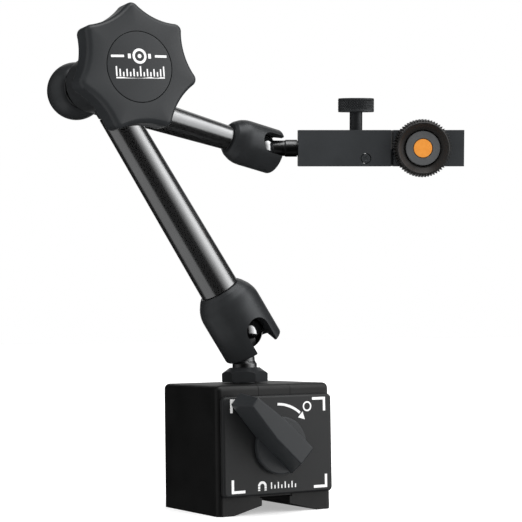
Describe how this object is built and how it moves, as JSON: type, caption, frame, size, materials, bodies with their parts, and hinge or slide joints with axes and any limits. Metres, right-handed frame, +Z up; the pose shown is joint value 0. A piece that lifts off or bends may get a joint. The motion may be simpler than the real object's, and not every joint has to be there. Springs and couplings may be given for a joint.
{
  "type": "magnetic base indicator stand",
  "caption": "Compact magnetic base with a rotary switch, a two-arm holder locked at the elbow by a star knob, ball joints at both ends and a fine-adjust clamp for an indicator stem",
  "frame": {"origin": "middle of the bounding box in X and Y, on the plane of the magnetic soles", "axes": "+Z up; the switch plate faces -Y; the upper arm reaches towards +X"},
  "size_m": [0.1508, 0.06, 0.1549],
  "materials": {
    "painted_iron": "satin black paint",
    "plate_paint": "satin dark grey paint",
    "brass": "plain",
    "ferrite": "dull",
    "bright_steel": "polished",
    "black_steel": "satin blackened",
    "black_nickel": "black nickel plate",
    "black_plastic": "fine grain",
    "anodised": "dark anodised",
    "grey_plastic": "satin",
    "orange_enamel": "satin"
  },
  "bodies": {
    "base": {"left_pole": "painted_iron", "right_pole": "painted_iron", "upper_spacer": "painted_iron", "lower_spacer": "brass", "front_plate": "plate_paint", "rear_cover": "black_steel"},
    "switch": {"switch_knob": "black_plastic", "rotor_shaft": "bright_steel", "magnet_rotor": "ferrite"},
    "stud": {"stud_ball": "bright_steel", "ball_stud": "bright_steel"},
    "locknut": {"stud_locknut": "black_steel"},
    "lower_tilt_pad": {"lower_pad": "black_steel"},
    "lower_arm": {"lower_socket_cup": "black_steel", "lower_tube": "black_nickel", "lower_push_rod": "bright_steel", "lower_arm_head": "black_steel", "elbow_washer": "bright_steel"},
    "elbow_bolt": {"draw_bolt": "bright_steel"},
    "lock_knob": {"star_knob": "black_plastic", "knob_hub": "black_steel", "knob_cap": "black_plastic"},
    "upper_arm": {"upper_arm_head": "black_nickel", "upper_tube": "black_nickel", "upper_push_rod": "bright_steel", "upper_socket_cup": "black_steel"},
    "upper_stem": {"upper_ball_stem": "bright_steel"},
    "fine_bar": {"fine_adjust_body": "anodised", "pivot_pin": "anodised", "return_spring": "bright_steel"},
    "fine_screw": {"fine_adjust_screw": "black_steel"},
    "clamp_lever": {"clamp_block": "anodised", "clamp_screw": "bright_steel"},
    "front_jaw": {"clamp_jaw": "anodised"},
    "jaw_knob": {"clamp_knob": "black_plastic", "clamp_cap": "grey_plastic", "cap_mark": "orange_enamel"}
  },
  "joints": [
    {"name": "switch_turn", "type": "hinge", "parent": "base", "child": "switch", "pos_m": [-0.00538, -0.01555, 0.0213], "axis": [0, 1, 0], "range_deg": [0, 90]},
    {"name": "stud_swivel", "type": "hinge", "parent": "base", "child": "stud", "pos_m": [-0.00538, 0.00325, 0.0573], "axis": [0, 0, 1], "continuous": true},
    {"name": "locknut_turn", "type": "hinge", "parent": "base", "child": "locknut", "pos_m": [-0.00538, 0.00325, 0.0424], "axis": [0, 0, 1], "range_deg": [0, 90]},
    {"name": "lower_ball_tilt", "type": "hinge", "parent": "stud", "child": "lower_tilt_pad", "pos_m": [-0.00538, 0.00325, 0.0573], "axis": [0, 1, 0], "range_deg": [0, 66]},
    {"name": "lower_ball_roll", "type": "hinge", "parent": "lower_tilt_pad", "child": "lower_arm", "pos_m": [-0.00538, 0.00325, 0.0573], "axis": [-0.549, 0, 0.8358], "continuous": true},
    {"name": "elbow_fold", "type": "hinge", "parent": "lower_arm", "child": "upper_arm", "pos_m": [-0.05661, 0.00325, 0.13528], "axis": [0, -1, 0], "range_deg": [-8, 120]},
    {"name": "lock_knob_turn", "type": "hinge", "parent": "lower_arm", "child": "lock_knob", "pos_m": [-0.05661, -0.01775, 0.13528], "axis": [0, -1, 0], "range_deg": [0, 90]},
    {"name": "draw_bolt_slide", "type": "slide", "parent": "lower_arm", "child": "elbow_bolt", "axis": [0, 1, 0], "range_m": [0, 0.0003125]},
    {"name": "upper_ball_swing", "type": "hinge", "parent": "upper_arm", "child": "upper_stem", "pos_m": [0.0123, 0.02065, 0.12038], "axis": [-0.2081, -0.1736, -0.9626], "range_deg": [-121, 57]},
    {"name": "bar_twist", "type": "hinge", "parent": "upper_stem", "child": "fine_bar", "pos_m": [0.0232, 0.01433, 0.12021], "axis": [0.8651, -0.5015, -0.014], "continuous": true},
    {"name": "fine_screw_turn", "type": "hinge", "parent": "fine_bar", "child": "fine_screw", "pos_m": [0.03998, 0.00312, 0.12984], "axis": [-0.0526, -0.1184, 0.9916], "range_deg": [-60, 60]},
    {"name": "fine_lever_tilt", "type": "hinge", "parent": "fine_bar", "child": "clamp_lever", "pos_m": [0.04337, 0.00316, 0.11641], "axis": [-0.4989, -0.857, -0.1288], "range_deg": [-2, 2], "deforming": ["return_spring"]},
    {"name": "jaw_knob_turn", "type": "hinge", "parent": "clamp_lever", "child": "jaw_knob", "pos_m": [0.05429, -0.01515, 0.11834], "axis": [-0.4989, -0.857, -0.1288], "range_deg": [0, 180]},
    {"name": "jaw_open", "type": "slide", "parent": "clamp_lever", "child": "front_jaw", "axis": [-0.4989, -0.857, -0.1288], "range_m": [0, 0.00035]}
  ],
  "couplings": [
    {"joint": "lock_knob_turn", "follows": "draw_bolt_slide", "rad_per_m": 5026.5},
    {"joint": "fine_lever_tilt", "follows": "fine_screw_turn", "ratio": -0.033333},
    {"joint": "jaw_knob_turn", "follows": "jaw_open", "rad_per_m": 8976}
  ]
}
